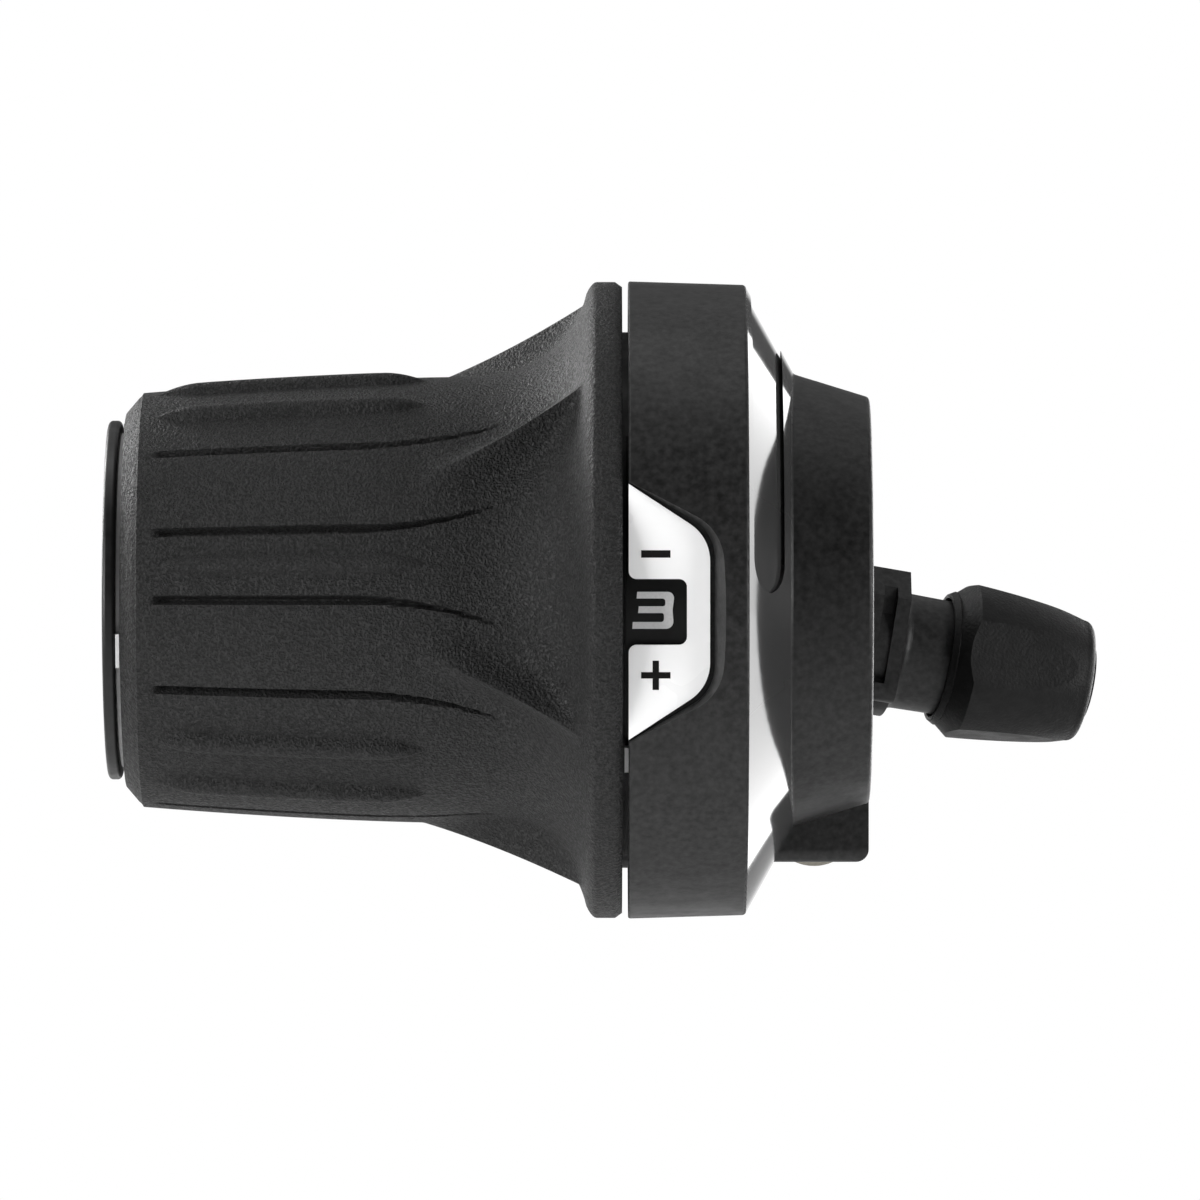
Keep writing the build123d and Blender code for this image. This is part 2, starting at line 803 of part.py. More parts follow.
def indicator_plate():
    face = plate_outline(0) - window_outline(-cut_margin)
    face = rounded(face, [((0, window_half), window_corner), ((0, -window_half), window_corner)])
    plate = from_plate(face, plate_face - plate_thick, plate_thick)
    low, high = arm_angles
    outer = cavity_r - running_gap
    inner = outer - arm_thick
    arm = sector(2 * clear_gap, 4 * clear_gap, inner, outer, low, high)
    hook = sector(-hook_reach, 4 * clear_gap, inner, outer, low, low + hook_angle)
    return plate + arm + hook


# Cable liner and adjuster
def cable_liner():
    mouth = liner_start + liner_mouth_length
    return on_adjuster(
        (liner_mouth_r - clear_gap, liner_start), (liner_mouth_r, liner_start), (liner_mouth_r, mouth),
        (liner_r, mouth), (liner_r, screw_bore_start), (cable_hole_r, screw_bore_start), (cable_hole_r, mouth))


def adjuster_insert():
    return adjuster_tube(insert_start, insert_end, screw_r + running_gap, tube_bore_r - seat_gap)


def adjuster_spring():
    free = click_ring_start - insert_end - 2 * seat_gap
    middle_r = (screw_r + tube_bore_r) / 2
    rise = free - coil_wire
    path = Helix(rise / coil_turns, rise, middle_r)
    section = Plane(origin=path @ 0, z_dir=path % 0) * Rectangle(coil_wire, coil_wire)
    coil = sweep(section, path=path, is_frenet=True)
    return adjuster.location * (Pos(0, 0, insert_end + seat_gap + coil_wire / 2) * coil)


def click_ring():
    end = click_ring_start + click_ring_thick
    body = adjuster_tube(click_ring_start, end, screw_r + running_gap, tube_r)
    width = keyway_width - 2 * running_gap
    reach = tube_bore_r + keyway_depth - running_gap
    middle = (click_leg_start + end) / 2
    legs = Pos(0, 0, middle) * Box(width, 2 * reach, end - click_leg_start)
    legs = adjuster.location * legs
    legs -= adjuster_rod(click_leg_start - cut_margin, end + cut_margin, tube_bore_r - running_gap)
    return body + legs


def adjuster_bolt():
    end = knob_end + casing_reach
    head_r = casing_r + casing_wall
    body = on_adjuster(
        (cable_hole_r, screw_start), (screw_r, screw_start), (screw_r, knob_wall_start),
        (head_r, knob_wall_start), (head_r, end), (casing_r, end), (casing_r, end - casing_depth),
        (cable_hole_r, end - casing_depth))
    collar_end = collar_start + collar_length
    return body + adjuster_tube(collar_start, collar_end, casing_r + casing_wall / 2, head_r + collar_reach)


def adjuster_knob():
    skirt = tube_r + knob_skirt_gap
    shoulder = knob_start + knob_chamfer
    round_start = knob_end - knob_end_round
    middle = (shoulder + round_start) / 2
    bore = casing_r + casing_wall + seat_gap
    outline = make_face([
        Polyline((skirt, knob_start), (knob_rim_r, knob_start), (knob_max_r, shoulder)),
        ThreePointArc((knob_max_r, shoulder), (knob_mid_r, middle), (knob_end_r, round_start)),
        Line((knob_end_r, round_start), (knob_end_r - knob_end_round, knob_end)),
        Polyline(
            (knob_end_r - knob_end_round, knob_end), (bore, knob_end), (bore, knob_wall_start),
            (skirt, knob_wall_start), (skirt, knob_start)),
    ])
    body = revolve(Plane.XZ * outline, Axis.Z)
    for step in range(knob_flat_count):
        flat = Pos(knob_flat + knob_max_r, 0, knob_end / 2) * Box(2 * knob_max_r, 4 * knob_max_r, 2 * knob_end)
        body -= Rot(0, 0, knob_flat_turn + 360 / knob_flat_count * step) * flat
    hollow = adjuster_tube(
        collar_start - seat_gap, collar_start + collar_length + seat_gap, 0,
        casing_r + casing_wall + collar_reach + seat_gap)
    return adjuster.location * body - hollow


makers = [
    housing_body, bar_sleeve, sleeve_screws, end_ring, outer_thrust_washer, inner_thrust_washer,
    grip_core, grip_rubber, cable_drum, number_band, index_sector, index_spring, indicator_plate,
    clamp_bolt, clamp_nut, cable_port_cover, cable_port_screw, cable_liner, adjuster_insert,
    adjuster_spring, click_ring, adjuster_bolt, adjuster_knob]

os.makedirs("parts", exist_ok=True)
for maker in makers:
    made = maker()
    solids = [solid for piece in (made if isinstance(made, list) else [made]) for solid in piece.solids()]
    node = solids[0] if len(solids) == 1 else Compound(children=solids)
    export_step(node, f"parts/{maker.__name__}.step")
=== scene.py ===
import bmesh
import bpy
import math
from mathutils import Matrix, Vector


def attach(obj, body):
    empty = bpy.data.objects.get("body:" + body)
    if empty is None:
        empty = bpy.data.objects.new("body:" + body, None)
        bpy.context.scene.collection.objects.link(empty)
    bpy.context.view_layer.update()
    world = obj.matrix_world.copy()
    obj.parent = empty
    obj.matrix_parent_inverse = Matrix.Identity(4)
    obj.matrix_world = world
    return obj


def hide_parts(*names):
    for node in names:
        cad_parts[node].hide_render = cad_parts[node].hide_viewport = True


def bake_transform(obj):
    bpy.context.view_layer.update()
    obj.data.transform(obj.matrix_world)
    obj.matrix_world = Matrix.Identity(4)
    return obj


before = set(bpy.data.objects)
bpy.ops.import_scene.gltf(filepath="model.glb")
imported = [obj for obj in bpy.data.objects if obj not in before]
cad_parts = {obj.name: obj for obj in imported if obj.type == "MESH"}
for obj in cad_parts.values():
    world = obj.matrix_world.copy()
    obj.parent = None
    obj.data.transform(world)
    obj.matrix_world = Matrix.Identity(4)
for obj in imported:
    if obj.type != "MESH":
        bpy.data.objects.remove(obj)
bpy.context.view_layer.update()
scene = bpy.context.scene
scene.view_settings.view_transform = "Standard"

# Shapes are modelled in millimetres and scaled to metres when they are placed.
mm = 0.001


# Camera, as far off as the photograph's, level with the bar
camera_along = -2.15
camera_away = 860
camera_data = bpy.data.cameras.new("camera")
camera_data.sensor_width = 36.0
camera_data.lens = 335.4
camera_data.clip_end = 20.0
camera = bpy.data.objects.new("camera", camera_data)
camera.location = (camera_along * mm, -camera_away * mm, 0)
camera.rotation_euler = (math.radians(90), 0, 0)
scene.collection.objects.link(camera)
scene.camera = camera


# Finishes
def finish(name, colour, roughness, **sockets):
    """A new material whose even values sit on the shader's own sockets."""
    made = bpy.data.materials.new(name)
    made.use_nodes = True
    shader = made.node_tree.nodes["Principled BSDF"]
    shader.inputs["Base Color"].default_value = (*colour, 1)
    shader.inputs["Roughness"].default_value = roughness
    for socket, value in sockets.items():
        shader.inputs[socket.replace("_", " ")].default_value = value
    return made


def node(made, kind, **inputs):
    new = made.node_tree.nodes.new(kind)
    for name, value in inputs.items():
        new.inputs[name.replace("_", " ")].default_value = value
    return new


def join(made, output, socket):
    made.node_tree.links.new(output, socket)


def into(made, output, socket):
    join(made, output, made.node_tree.nodes["Principled BSDF"].inputs[socket])


def object_point(made, stretch=(1, 1, 1)):
    point = node(made, "ShaderNodeTexCoord").outputs["Object"]
    mapping = node(made, "ShaderNodeMapping", Scale=stretch)
    join(made, point, mapping.inputs["Vector"])
    return mapping.outputs["Vector"]


def grain(made, size, detail=2.0, stretch=(1, 1, 1)):
    """Noise with lumps of about this many millimetres."""
    noise = node(made, "ShaderNodeTexNoise", Scale=1 / (size * mm), Detail=detail)
    join(made, object_point(made, stretch), noise.inputs["Vector"])
    return noise.outputs["Fac"]


def ease(made, value, start, end, low, high):
    """Maps a value smoothly from start..end to low..high."""
    new = node(made, "ShaderNodeMapRange")
    new.interpolation_type = "SMOOTHSTEP"
    for name, number in (("From Min", start), ("From Max", end), ("To Min", low), ("To Max", high)):
        new.inputs[name].default_value = number
    join(made, value, new.inputs["Value"])
    return new.outputs["Result"]


def combine(made, how, first, second):
    new = node(made, "ShaderNodeMath")
    new.operation = how
    join(made, first, new.inputs[0])
    join(made, second, new.inputs[1])
    return new.outputs["Value"]


def paint(made, value, dark, light, start=0.3, end=0.7):
    ramp = node(made, "ShaderNodeValToRGB")
    ramp.color_ramp.elements[0].position = start
    ramp.color_ramp.elements[0].color = (*dark, 1)
    ramp.color_ramp.elements[1].position = end
    ramp.color_ramp.elements[1].color = (*light, 1)
    join(made, value, ramp.inputs["Fac"])
    into(made, ramp.outputs["Color"], "Base Color")


def emboss(made, height, depth):
    """Raises the surface by a height map, whose full step is this many millimetres."""
    bump = node(made, "ShaderNodeBump", Strength=1.0, Distance=depth * mm)
    join(made, height, bump.inputs["Height"])
    into(made, bump.outputs["Normal"], "Normal")


def grey(level):
    return (level, level, level)


def moulded(name, dark, light, roughness, texture, depth, **sockets):
    """A moulded plastic or rubber: uneven colour, uneven gloss and a fine mould texture."""
    made = finish(name, light, roughness[0], **sockets)
    paint(made, grain(made, texture * 3, 4.0), dark, light)
    into(made, ease(made, grain(made, texture * 9), 0.3, 0.7, *roughness), "Roughness")
    emboss(made, grain(made, texture, 3.0), depth)
    return made


def drawn_metal(name, dark, light, roughness, depth, stretch):
    """A metal with fine lines left by the tool that made it."""
    made = finish(name, light, roughness[0], Metallic=1.0)
    lines = grain(made, 0.25, 3.0, stretch)
    paint(made, lines, dark, light)
    into(made, ease(made, grain(made, 1.5), 0.3, 0.7, *roughness), "Roughness")
    emboss(made, lines, depth)
    return made


cone_end = 13.6
cone_blend = 0.2


def housing_plastic():
    """Satin black; the sloping cone between the ring and the nose has a glossy polish and a lighter colour
    that is a painted reflection.
    """
    made = finish("housing_satin_black", grey(0.008), 0.34, Specular_IOR_Level=0.26)
    place = node(made, "ShaderNodeSeparateXYZ")
    join(made, object_point(made), place.inputs["Vector"])
    lean = node(made, "ShaderNodeSeparateXYZ")
    join(made, node(made, "ShaderNodeNewGeometry").outputs["True Normal"], lean.inputs["Vector"])
    # Mask of the cone, which gets a glossy polish and also a lighter colour painted in as its reflection.
    on_cone = ease(made, place.outputs["X"], cone_end * mm, (cone_end + cone_blend) * mm, 1, 0)
    cone_polish_and_painted_reflection = combine(made, "MULTIPLY", ease(made, lean.outputs["X"], 0.7, 0.8, 0, 1), on_cone)
    matt = ease(made, cone_polish_and_painted_reflection, 0, 1, 1, 0)
    satin = ease(made, grain(made, 2.2), 0.3, 0.7, 0.42, 0.50)
    rough = combine(made, "MULTIPLY", satin, ease(made, cone_polish_and_painted_reflection, 0, 1, 1, 0.16))
    # Colour: random tone all over, plus a lighter grey on the cone that is painted reflection, not a
    # different plastic.
    tone_and_painted_reflection = combine(made, "ADD", grain(made, 0.5, 4.0), ease(made, cone_polish_and_painted_reflection, 0, 1, 0, 1))
    paint(made, tone_and_painted_reflection, grey(0.003), grey(0.030), 0.3, 1.7)
    into(made, rough, "Roughness")
    emboss(made, combine(made, "MULTIPLY", grain(made, 0.16, 3.0), matt), 0.008)
    return made


def grip_skin_finish():
    """Matt rubber with a leathery grain and fine dark pits left by the mould."""
    made = finish("grip_rubber_matt", grey(0.020), 0.6, Specular_IOR_Level=0.29)
    leather = grain(made, 0.32, 2.0)
    pits = ease(made, grain(made, 0.34, 3.0, (1, 1.6, 1.6)), 0.54, 0.62, 1, 0)
    patches = ease(made, grain(made, 9.0), 0.4, 0.6, 0.35, 1)
    worn = combine(made, "MAXIMUM", pits, ease(made, patches, 0, 1, 0.8, 0))
    speck = ease(made, grain(made, 0.20, 1.0), 0.36, 0.64, 0.15, 1)
    paint(made, combine(made, "MULTIPLY", worn, speck), grey(0.003), grey(0.017), 0.0, 1.0)
    into(made, ease(made, leather, 0.3, 0.7, 0.70, 0.50), "Roughness")
    height = combine(made, "ADD", leather, combine(made, "MULTIPLY", worn, worn))
    emboss(made, combine(made, "ADD", height, speck), 0.085)
    return made


rubber = grip_skin_finish()
housing_black = housing_plastic()
ring_black = moulded(
    "end_ring_black", grey(0.004), grey(0.008), roughness=(0.34, 0.44), texture=0.16, depth=0.008,
    Specular_IOR_Level=0.3)
knob_grey = moulded(
    "knob_dark_grey", grey(0.004), grey(0.008), roughness=(0.46, 0.58), texture=0.22, depth=0.050,
    Specular_IOR_Level=0.18)
bushing_black = moulded(
    "bushing_black", grey(0.004), grey(0.008), roughness=(0.50, 0.60), texture=0.15, depth=0.006,
    Specular_IOR_Level=0.15)
plate_white = moulded(
    "plate_white", grey(0.91), grey(0.92), roughness=(0.27, 0.30), texture=0.50, depth=0.0006)
washer_white = moulded(
    "washer_white", grey(0.62), grey(0.72), roughness=(0.40, 0.50), texture=0.20, depth=0.006)
band_black = moulded(
    "number_band_black", grey(0.003), grey(0.005), roughness=(0.30, 0.38), texture=0.20, depth=0.003,
    Specular_IOR_Level=0.2)
core_plastic = moulded(
    "core_black_nylon", grey(0.014), grey(0.024), roughness=(0.42, 0.55), texture=0.18, depth=0.010)
drum_plastic = moulded(
    "drum_natural_nylon", (0.55, 0.53, 0.47), (0.63, 0.61, 0.55), roughness=(0.40, 0.52), texture=0.2,
    depth=0.006)
sleeve_plastic = moulded(
    "sleeve_black_nylon", grey(0.014), grey(0.024), roughness=(0.40, 0.55), texture=0.18, depth=0.010)
liner_plastic = moulded(
    "liner_white", grey(0.60), grey(0.70), roughness=(0.30, 0.40), texture=0.20, depth=0.004)
sign_black = moulded(
    "sign_black", grey(0.003), grey(0.006), roughness=(0.40, 0.50), texture=0.10, depth=0.003,
    Specular_IOR_Level=0.15)
numeral_silver = moulded(
    "numeral_silver", grey(0.62), grey(0.70), roughness=(0.34, 0.44), texture=0.06, depth=0.002)
bolt_steel = drawn_metal(
    "bolt_steel", (0.42, 0.39, 0.34), (0.52, 0.49, 0.43), roughness=(0.28, 0.40), depth=0.004,
    stretch=(1, 0.2, 1))
spring_steel = drawn_metal(
    "spring_steel", grey(0.48), grey(0.58), roughness=(0.20, 0.32), depth=0.003, stretch=(0.2, 1, 1))
insert_brass = drawn_metal(
    "insert_brass", (0.56, 0.42, 0.18), (0.68, 0.52, 0.24), roughness=(0.22, 0.34), depth=0.003,
    stretch=(0.2, 1, 1))
ground_steel = drawn_metal(
    "ground_steel", grey(0.16), grey(0.22), roughness=(0.42, 0.54), depth=0.003, stretch=(1, 1, 0.2))

node_finish = {
    "housing_body": housing_black,
    "bar_sleeve": sleeve_plastic,
    "sleeve_screws": ground_steel,
    "end_ring": ring_black,
    "outer_thrust_washer": washer_white,
    "inner_thrust_washer": washer_white,
    "grip_core": core_plastic,
    "grip_rubber": rubber,
    "cable_drum": core_plastic,
    "number_band": band_black,
    "index_sector": drum_plastic,
    "index_spring": spring_steel,
    "indicator_plate": plate_white,
    "clamp_bolt": bolt_steel,
    "clamp_nut": ground_steel,
    "cable_port_cover": housing_black,
    "cable_port_screw": ground_steel,
    "cable_liner": liner_plastic,
    "adjuster_insert": insert_brass,
    "adjuster_spring": spring_steel,
    "click_ring": drum_plastic,
    "adjuster_bolt": bushing_black,
    "adjuster_knob": knob_grey,
}
for name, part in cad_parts.items():
    for place in part.material_slots:
        place.material = node_finish[name]


# Modelling helpers
weld_gap = 1e-5


def lathe(corners, cuts, steps):
    """Spins a closed outline of (along, radius) corners about X; cuts divide the side after each corner."""
    bm = bmesh.new()
    points = [bm.verts.new((along, -radius, 0)) for along, radius in corners]
    middles = []
    for first, second in zip(points, points[1:] + points[:1]):
        bm.edges.new((first, second))
        middles.append((first.co + second.co) / 2)
    for middle, cut in zip(middles, cuts):
        if cut:
            edge = min(bm.edges, key=lambda line: ((line.verts[0].co + line.verts[1].co) / 2 - middle).length)
            bmesh.ops.subdivide_edges(bm, edges=[edge], cuts=cut)
    bmesh.ops.spin(
        bm, geom=bm.verts[:] + bm.edges[:], cent=(0, 0, 0), axis=(-1, 0, 0), angle=2 * math.pi,
        steps=steps, use_merge=True)
    bmesh.ops.remove_doubles(bm, verts=bm.verts[:], dist=weld_gap)
    bmesh.ops.recalc_face_normals(bm, faces=bm.faces[:])
    return bm


def new_object(bm, name, material):
    """Turns a shape in metres into an object in the scene."""
    mesh = bpy.data.meshes.new(name)
    bm.to_mesh(mesh)
    bm.free()
    mesh.materials.append(material)
    made = bpy.data.objects.new(name, mesh)
    scene.collection.objects.link(made)
    return made


def shade(piece, sharp):
    """Smooths a piece's shading, except across edges that turn by more than sharp degrees."""
    piece.data.shade_smooth()
    piece.data.set_sharp_from_angle(angle=math.radians(sharp))


def place_piece(bm, name, material, body, sharp):
    """Turns a finished shape, still in millimetres, into a piece that rides on a body."""
    bmesh.ops.scale(bm, vec=(mm, mm, mm), verts=bm.verts[:])
    piece = new_object(bm, name, material)
    shade(piece, sharp)
    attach(piece, body)
    return piece


def clamp(value, low=0.0, high=1.0):
    return max(low, min(high, value))


# Grip rubber: lengths and radii in millimetres, angles in degrees
grip_left = -38.5
grip_left_r = 14.4
chamfer_end = -37.2
barrel_r = 15.92
barrel_swell = 1.23
barrel_power = 1.6
valley_start = -13.0
flare_run = 10.1
flare_rise = 9.52
flare_power = 2.4
flange_foot = -3.2
flange_foot_r = 23.6
flange_left = -2.4
flange_round = 0.85
flange_r = 24.45
flange_right = -1.0
right_face = -0.46
right_face_r = 24.06
inner_r = 14.24
seat_x = -1.99
seat_r = 22.93
pattern_middle = 9.2
pattern_repeat = 120.0
fin_left = -15.6
fin_lead = 0.1
fin_start_r = 17.12
fin_climb = 0.31
fin_curve = 0.0118
fin_turn = 23.5
fin_twist = 1.06
fin_reach = 2.7
fin_edge = 0.12
fin_hollow = 2.2
ribs = ((0, 0.78, 0.66), (51, 0.95, 0.75), (-51, 0.95, 0.75))
rib_range = (-36.0, -15.5)
rib_point = 3.4
rib_round = 0.8
groove_middles = (9.3, -9.3, 34.3, -34.3)
groove_range = (-36.0, -9.5)
groove_begin = 0.5
groove_depth = 0.9
groove_bend = -20.5
groove_sweep = 6.5
groove_half = 1.05
groove_taper = 0.75
skin_steps = 720


def valley_r(x):
    """Radius between the fins: a gently swelling barrel that flares into the flange."""
    barrel = clamp((x - chamfer_end) / (valley_start - chamfer_end))
    radius = barrel_r + barrel_swell * (1 - (1 - barrel) ** barrel_power)
    flare = clamp((x - valley_start) / flare_run)
    return radius + flare_rise * (1 - (1 - flare ** flare_power) ** (1 / flare_power))


def crest_r(x):
    """Radius along the crest of a fin, which climbs from the barrel to the flange."""
    run = max(0.0, x - fin_left + fin_lead)
    return fin_start_r + fin_climb * run + fin_curve * run * run


def fin_lift(x, turn, floor):
    """How far a fin stands above the floor: a thin crest with hollow flanks."""
    height = crest_r(x) - floor
    if height <= 0 or x < fin_left - fin_lead:
        return 0.0
    aside = crest_r(x) * math.radians(abs(abs(turn) - crest_turn(x)))
    slope = clamp((math.hypot(aside, fin_edge) - fin_edge) / fin_reach)
    return height * (1 - slope) ** fin_hollow


def rib_height(x, across, half_width, height):
    """A rib like an upturned boat: it narrows and drops to a point at both ends."""
    to_end = min(x - rib_range[0], rib_range[1] - x) / rib_point
    swell = math.sin(clamp(to_end) * math.pi / 2) ** rib_round
    if swell <= 0:
        return 0.0
    side = abs(across) / (half_width * swell)
    return height * swell * (1 - side * side) ** rib_round if side < 1 else 0.0


def groove_cut(x, turn, middle):
    """A narrow slit that bends away from the pattern's middle and fades out towards the flange."""
    begin = clamp((x - groove_range[0]) / groove_begin)
    ahead = clamp((x - groove_bend) / (groove_range[1] - groove_bend))
    aside = abs(turn - middle - math.copysign(groove_sweep * ahead * ahead, middle))
    half = groove_half * (1 - groove_taper * ahead)
    return groove_depth * clamp(2.0 - 2.0 * aside / half) * begin * (1 - ahead ** 3)


def grip_skin(x, turn):
    """Radius of the moulded skin at a place along the bar and an angle from the pattern's middle."""
    floor = valley_r(x)
    radius = floor + fin_lift(x, turn, floor)
    for middle, half_width, height in ribs:
        offset = floor * math.radians(turn - middle)
        radius += rib_height(x, offset, half_width, height)
    for middle in groove_middles:
        radius -= groove_cut(x, turn, middle)
    return radius


def crest_turn(x):
    """Angle of a fin's crest from the middle of its pattern, in degrees."""
    return fin_turn + fin_twist * max(0.0, x - fin_left)


def follow_fins(x, turn):
    """Slides an angle sideways so that the mesh runs along the fins and never across them."""
    border = pattern_repeat / 2
    crest = crest_turn(x)
    if abs(turn) <= fin_turn:
        return turn * crest / fin_turn
    rest = (border - abs(turn)) * (border - crest) / (border - fin_turn)
    return math.copysign(border - rest, turn)


def grip_cover():
    """The rubber: a spun tube whose outside is then moved out or in to the moulded skin."""
    corners = [
        (grip_left, inner_r), (grip_left, grip_left_r), (chamfer_end, barrel_r), (-33.0, 16.3), (-18.5, 17.1),
        (-9.5, 17.5), (flange_foot, flange_foot_r), (flange_left, flange_r), (flange_right, flange_r),
        (right_face, right_face_r), (right_face, seat_r), (seat_x, seat_r), (seat_x, inner_r)]
    cuts = [0, 3, 12, 12, 36, 40, 4, 1, 0, 0, 0, 0, 0]
    bm = lathe(corners, cuts, skin_steps)
    for vert in bm.verts:
        x, y, z = vert.co
        radius = math.hypot(y, z)
        if radius < inner_r + 0.1 or x < chamfer_end - 1e-4:
            continue
        mesh_angle = math.degrees(math.atan2(z, -y))
        sector = round(mesh_angle / pattern_repeat) * pattern_repeat
        turn = follow_fins(x, mesh_angle - sector)
        if x < flange_foot + 1e-4:
            radius = min(grip_skin(x, turn), flange_foot_r)
        elif x < flange_left:
            rise = math.sin(math.pi / 2 * (x - flange_foot) / (flange_left - flange_foot))
            radius = flange_foot_r + flange_round * rise
        angle = math.radians(pattern_middle + sector + turn)
        vert.co = (x, -radius * math.cos(angle), radius * math.sin(angle))
    cover = place_piece(bm, "grip_cover", rubber, "grip", 40)
    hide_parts("grip_rubber")


# Adjuster knob, on its own slanting axis
adjuster_origin = Vector((20.65, 18.0, -3.84))
adjuster_axis = Vector((1.0, 0.167, -0.171)).normalized()
knob_left = 3.95
knob_start = 5.85
knob_start_r = 6.3
knob_barrel_end = 14.9
knob_taper = 0.3
knob_bulge = 1.2
knob_right = 15.6
knob_right_r = 4.1
knob_hole_r = 3.08
knob_cavity_end = 10.6
knob_cavity_r = 4.75
knob_flat = 5.80
knob_flat_lean = 5.3
knob_flat_turn = 9.4


def adjuster_matrix():
    """Takes X to the adjuster's axis and -Y to the side that faces the rider."""
    rider = Vector((0, -1, 0))
    front = (rider - adjuster_axis * rider.dot(adjuster_axis)).normalized()
    up = front.cross(adjuster_axis)
    turn = Matrix((adjuster_axis, -front, up)).transposed().to_4x4()
    return Matrix.Translation(adjuster_origin) @ turn


def knob_barrel(along):
    """Radius of the barrel before its flats are cut."""
    swell = (along - knob_start) / (knob_barrel_end - knob_start)
    return knob_start_r - knob_taper * swell - knob_bulge * swell * swell


def knob_nose(along):
    """Radius of the rounded rim at the barrel's right end."""
    rim = knob_right - knob_barrel_end
    return knob_right_r + rim * math.sqrt(clamp(1 - ((along - knob_barrel_end) / rim) ** 2))


def cut_flat(bm, angle):
    """Planes one flat off the barrel, and borders it so that its shading stays flat."""
    turn = Matrix.Rotation(math.radians(angle), 3, "X")
    lean = Matrix.Rotation(math.radians(knob_flat_lean), 3, "Z")
    cut = bmesh.ops.bisect_plane(
        bm, geom=bm.verts[:] + bm.edges[:] + bm.faces[:], dist=weld_gap,
        plane_co=turn @ Vector((knob_start, -knob_flat, 0)), plane_no=turn @ lean @ Vector((0, -1, 0)),
        clear_outer=True)["geom_cut"]
    rim = [edge for edge in cut if isinstance(edge, bmesh.types.BMEdge)]
    flat = bmesh.ops.contextual_create(bm, geom=rim)["faces"]
    bmesh.ops.inset_region(bm, faces=flat, thickness=0.05)


def knob():
    """A spun barrel with a grooved lip and four flats, hollow over the adjuster's tube."""
    corners = [
        (knob_left, knob_cavity_r), (knob_left, 5.05), (4.40, 5.30), (4.50, 5.22), (knob_start, knob_start_r),
        (knob_barrel_end, 4.8), (knob_right, knob_right_r), (knob_right, knob_hole_r),
        (knob_cavity_end, knob_hole_r), (knob_cavity_end, knob_cavity_r)]
    bm = lathe(corners, [0, 2, 0, 8, 40, 6, 2, 0, 0, 0], 192)
    for vert in bm.verts:
        along, y, z = vert.co
        radius = math.hypot(y, z)
        if knob_start <= along <= knob_barrel_end and radius > knob_cavity_r + 0.01:
            wanted = knob_barrel(along)
        elif along > knob_barrel_end and radius > knob_right_r - 0.01:
            wanted = knob_nose(along)
        else:
            continue
        vert.co.y *= wanted / radius
        vert.co.z *= wanted / radius
    for quarter in range(4):
        cut_flat(bm, -knob_flat_turn - 90 * quarter)
    bmesh.ops.recalc_face_normals(bm, faces=bm.faces[:])
    bmesh.ops.transform(bm, matrix=adjuster_matrix(), verts=bm.verts[:])
    piece = place_piece(bm, "barrel_knob", knob_grey, "adjuster", 20)
    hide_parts("adjuster_knob")


def coil_spring():
    """The CAD spring's own shape, copied with its doubled points merged and shaded smooth."""
    bm = bmesh.new()
    bm.from_mesh(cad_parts["adjuster_spring"].data)
    bmesh.ops.remove_doubles(bm, verts=bm.verts[:], dist=0.001 * mm)
    spring = new_object(bm, "coil_spring", spring_steel)
    shade(spring, 35)
    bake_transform(spring)
    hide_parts("adjuster_spring")


# Numerals on the band and signs on the plate
band_r = 21.5
numeral_x = 1.87
numeral_lift = 0.02
numeral_thick = 0.03
numeral_strip = 0.3
plate_turn = -2.3
plate_face = 22.4
sign_x = 2.03
sign_wide = 2.2
sign_thick = 0.04
minus_z = 4.35
minus_high = 0.56
plus_z = -4.75
plus_stroke = 0.48
plus_arm = 0.86
plus_arm_middle = 0.67

# Corners of each numeral from its middle, as (across, up, round); strokes are square-cut and wide.
numeral_corners = {
    "3": [
        (-1.23, 1.38, 0), (1.60, 1.38, 0.55), (1.42, 0.01, 0.12), (1.53, -1.39, 0.6), (-1.60, -1.39, 0),
        (-1.56, -0.88, 0), (0.78, -0.88, 0.22), (0.78, -0.21, 0.18), (-1.16, -0.21, 0), (-1.11, 0.30, 0),
        (0.88, 0.30, 0.18), (0.88, 0.88, 0.22), (-1.27, 0.88, 0)],
    "2": [
        (-1.25, 1.38, 0), (1.60, 1.38, 0.55), (1.47, -0.25, 0.45), (-0.75, -0.25, 0.18), (-0.80, -0.88, 0),
        (1.42, -0.88, 0), (1.38, -1.39, 0), (-1.60, -1.39, 0), (-1.47, 0.26, 0.45), (0.85, 0.26, 0.18),
        (0.90, 0.88, 0.18), (-1.29, 0.88, 0)],
    "1": [
        (-0.90, 1.38, 0), (0.60, 1.38, 0.2), (0.38, -1.39, 0), (-0.34, -1.39, 0), (-0.16, 0.85, 0),
        (-0.94, 0.85, 0)],
}


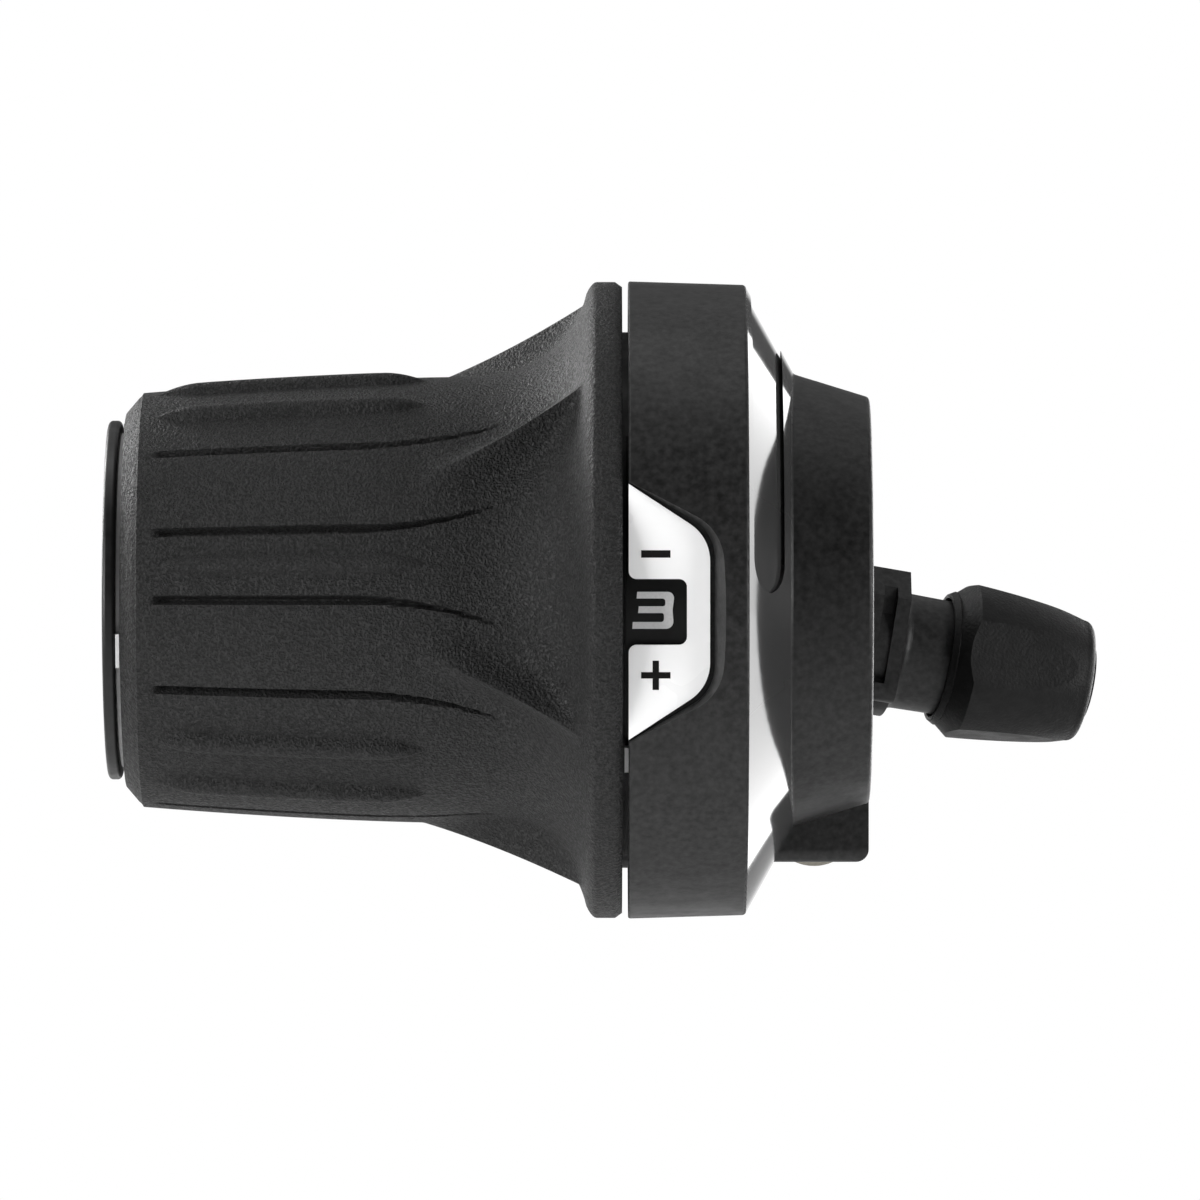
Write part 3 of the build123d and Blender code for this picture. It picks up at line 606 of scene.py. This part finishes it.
def numeral(text, angle):
    """A printed numeral, cut out flat and then wrapped round the band."""
    bm = bmesh.new()
    corners = numeral_corners[text]
    bm.faces.new([bm.verts.new((across, up, 0)) for across, up, size in corners])
    places = [Vector((across, up, 0)) for across, up, size in corners]
    for place, (across, up, size) in zip(places, corners):
        if size:
            corner = min(bm.verts, key=lambda vert: (vert.co - place).length)
            bmesh.ops.bevel(
                bm, geom=[corner], offset=size, affect="VERTICES", segments=6, profile=0.5, material=-1)
    bmesh.ops.triangulate(bm, faces=bm.faces[:])
    for cut in range(-4, 5):
        bmesh.ops.bisect_plane(
            bm, geom=bm.verts[:] + bm.edges[:] + bm.faces[:], plane_co=(0, cut * numeral_strip, 0),
            plane_no=(0, 1, 0))
    bmesh.ops.recalc_face_normals(bm, faces=bm.faces[:])
    bmesh.ops.solidify(bm, geom=bm.faces[:], thickness=numeral_thick)
    for vert in bm.verts:
        across, up, out = vert.co
        radius = band_r + numeral_lift + out
        around = math.radians(angle) + up / band_r
        vert.co = (numeral_x + across, -radius * math.cos(around), radius * math.sin(around))
    bmesh.ops.recalc_face_normals(bm, faces=bm.faces[:])
    place_piece(bm, f"numeral_{text}", numeral_silver, "grip", 30)


def sign_bar(bm, x, z, width, height):
    """One upright bar of a sign, on the plate's face."""
    bar = bmesh.ops.create_cube(bm, size=1.0)["verts"]
    bmesh.ops.scale(bm, vec=(width, sign_thick, height), verts=bar)
    bmesh.ops.translate(bm, vec=(x, -plate_face, z), verts=bar)


def plate_signs():
    """A minus above the window and a plus below it, printed on the plate."""
    bm = bmesh.new()
    sign_bar(bm, sign_x, minus_z, sign_wide, minus_high)
    sign_bar(bm, sign_x, plus_z, sign_wide, plus_stroke)
    for side in (-1, 1):
        sign_bar(bm, sign_x, plus_z + side * plus_arm_middle, plus_stroke, plus_arm)
    bmesh.ops.bevel(
        bm, geom=bm.edges[:], offset=0.012, affect="EDGES", segments=1, profile=0.5, material=-1)
    bmesh.ops.rotate(
        bm, cent=(0, 0, 0), matrix=Matrix.Rotation(math.radians(-plate_turn), 3, "X"), verts=bm.verts[:])
    place_piece(bm, "plate_signs", sign_black, "housing", 30)


# Stage, in metres: a pale floor that turns to plain white away from the object
floor_z = -0.10
floor_half = 4.0
floor_fade = (0.30, 0.95)


def white_seen(made):
    """1 for what the camera, a mirror or a clear piece sees."""
    path = node(made, "ShaderNodeLightPath")
    seen = combine(made, "MAXIMUM", path.outputs["Is Camera Ray"], path.outputs["Is Glossy Ray"])
    return combine(made, "MAXIMUM", seen, path.outputs["Is Transmission Ray"])


def floor():
    made = finish("floor_white", grey(0.50), 0.8)
    shader = made.node_tree.nodes["Principled BSDF"]
    glow = node(made, "ShaderNodeEmission", Strength=1.0)
    mix = node(made, "ShaderNodeMixShader")
    distance = node(made, "ShaderNodeVectorMath")
    distance.operation = "LENGTH"
    join(made, object_point(made), distance.inputs[0])
    fade = ease(made, distance.outputs["Value"], *floor_fade, 0.0, 1.0)
    join(made, combine(made, "MULTIPLY", fade, white_seen(made)), mix.inputs["Fac"])
    join(made, shader.outputs["BSDF"], mix.inputs[1])
    join(made, glow.outputs["Emission"], mix.inputs[2])
    join(made, mix.outputs["Shader"], made.node_tree.nodes["Material Output"].inputs["Surface"])
    into(made, ease(made, grain(made, 40), 0.3, 0.7, 0.75, 0.85), "Roughness")
    bm = bmesh.new()
    bmesh.ops.create_grid(bm, x_segments=2, y_segments=2, size=floor_half)
    bmesh.ops.translate(bm, vec=(0, 0, floor_z), verts=bm.verts[:])
    plane = new_object(bm, "floor", made)


def surround():
    """A pale studio all round: dim behind the camera, white where the camera looks."""
    world = bpy.data.worlds.new("studio")
    scene.world = world
    world.use_nodes = True
    tree = world.node_tree
    coords = tree.nodes.new("ShaderNodeTexCoord")
    split = tree.nodes.new("ShaderNodeSeparateXYZ")
    tree.links.new(coords.outputs["Generated"], split.inputs["Vector"])
    side_walls = ease(world, split.outputs["Y"], -0.8, 0.35, 0.04, 0.5)
    far_gap = ease(world, split.outputs["Y"], 0.78, 0.90, 0.0, -0.40)
    back_wall = ease(world, split.outputs["Y"], 0.965, 0.995, 0.0, 0.85)
    walls = combine(world, "ADD", side_walls, combine(world, "ADD", far_gap, back_wall))
    path = node(world, "ShaderNodeLightPath")
    seen = combine(world, "MAXIMUM", path.outputs["Is Camera Ray"], path.outputs["Is Transmission Ray"])
    level = combine(world, "MAXIMUM", walls, seen)
    tree.nodes["Background"].inputs["Color"].default_value = (1, 1, 1, 1)
    tree.links.new(level, tree.nodes["Background"].inputs["Strength"])


def softbox(name, place, size, watts):
    """A soft lamp, unseen by the camera, that faces the object."""
    light = bpy.data.lights.new(name, "AREA")
    light.shape = "RECTANGLE"
    light.size, light.size_y = size
    light.energy = watts
    lamp = bpy.data.objects.new(name, light)
    lamp.location = place
    lamp.rotation_euler = (-Vector(place)).to_track_quat("-Z", "Y").to_euler()
    lamp.visible_camera = False
    scene.collection.objects.link(lamp)


# The scene: pieces first, then the stage and its lamps
numeral_angles = {"3": -2.05, "2": -28.05, "1": -54.05}
right_lamp_place = (0.199, 0.167, 0.0)
right_lamp_sizes = ((0.10, 0.13), (0.15, 0.16), (0.20, 0.19))
right_lamp_strength = 21.0

grip_cover()
knob()
coil_spring()
for text, angle in numeral_angles.items():
    numeral(text, angle)
plate_signs()
floor()
surround()
softbox("top_softbox", (-0.15, 0.02, 0.90), (0.6, 0.7), 2.2)
softbox("left_front_softbox", (-0.72, -0.42, 0.05), (0.35, 0.6), 9.6)
softbox("right_front_softbox", (0.76, -0.36, 0.05), (0.35, 0.6), 6.3)
softbox("left_back_softbox", (-0.60, 0.50, 0.28), (0.35, 0.5), 7.5)
for layer, (width, height) in enumerate(right_lamp_sizes):
    watts = right_lamp_strength * width * height
    softbox(f"right_softbox_{layer}", right_lamp_place, (width, height), watts)
softbox("under_softbox", (-0.01, -0.035, -0.08), (0.16, 0.11), 0.040)
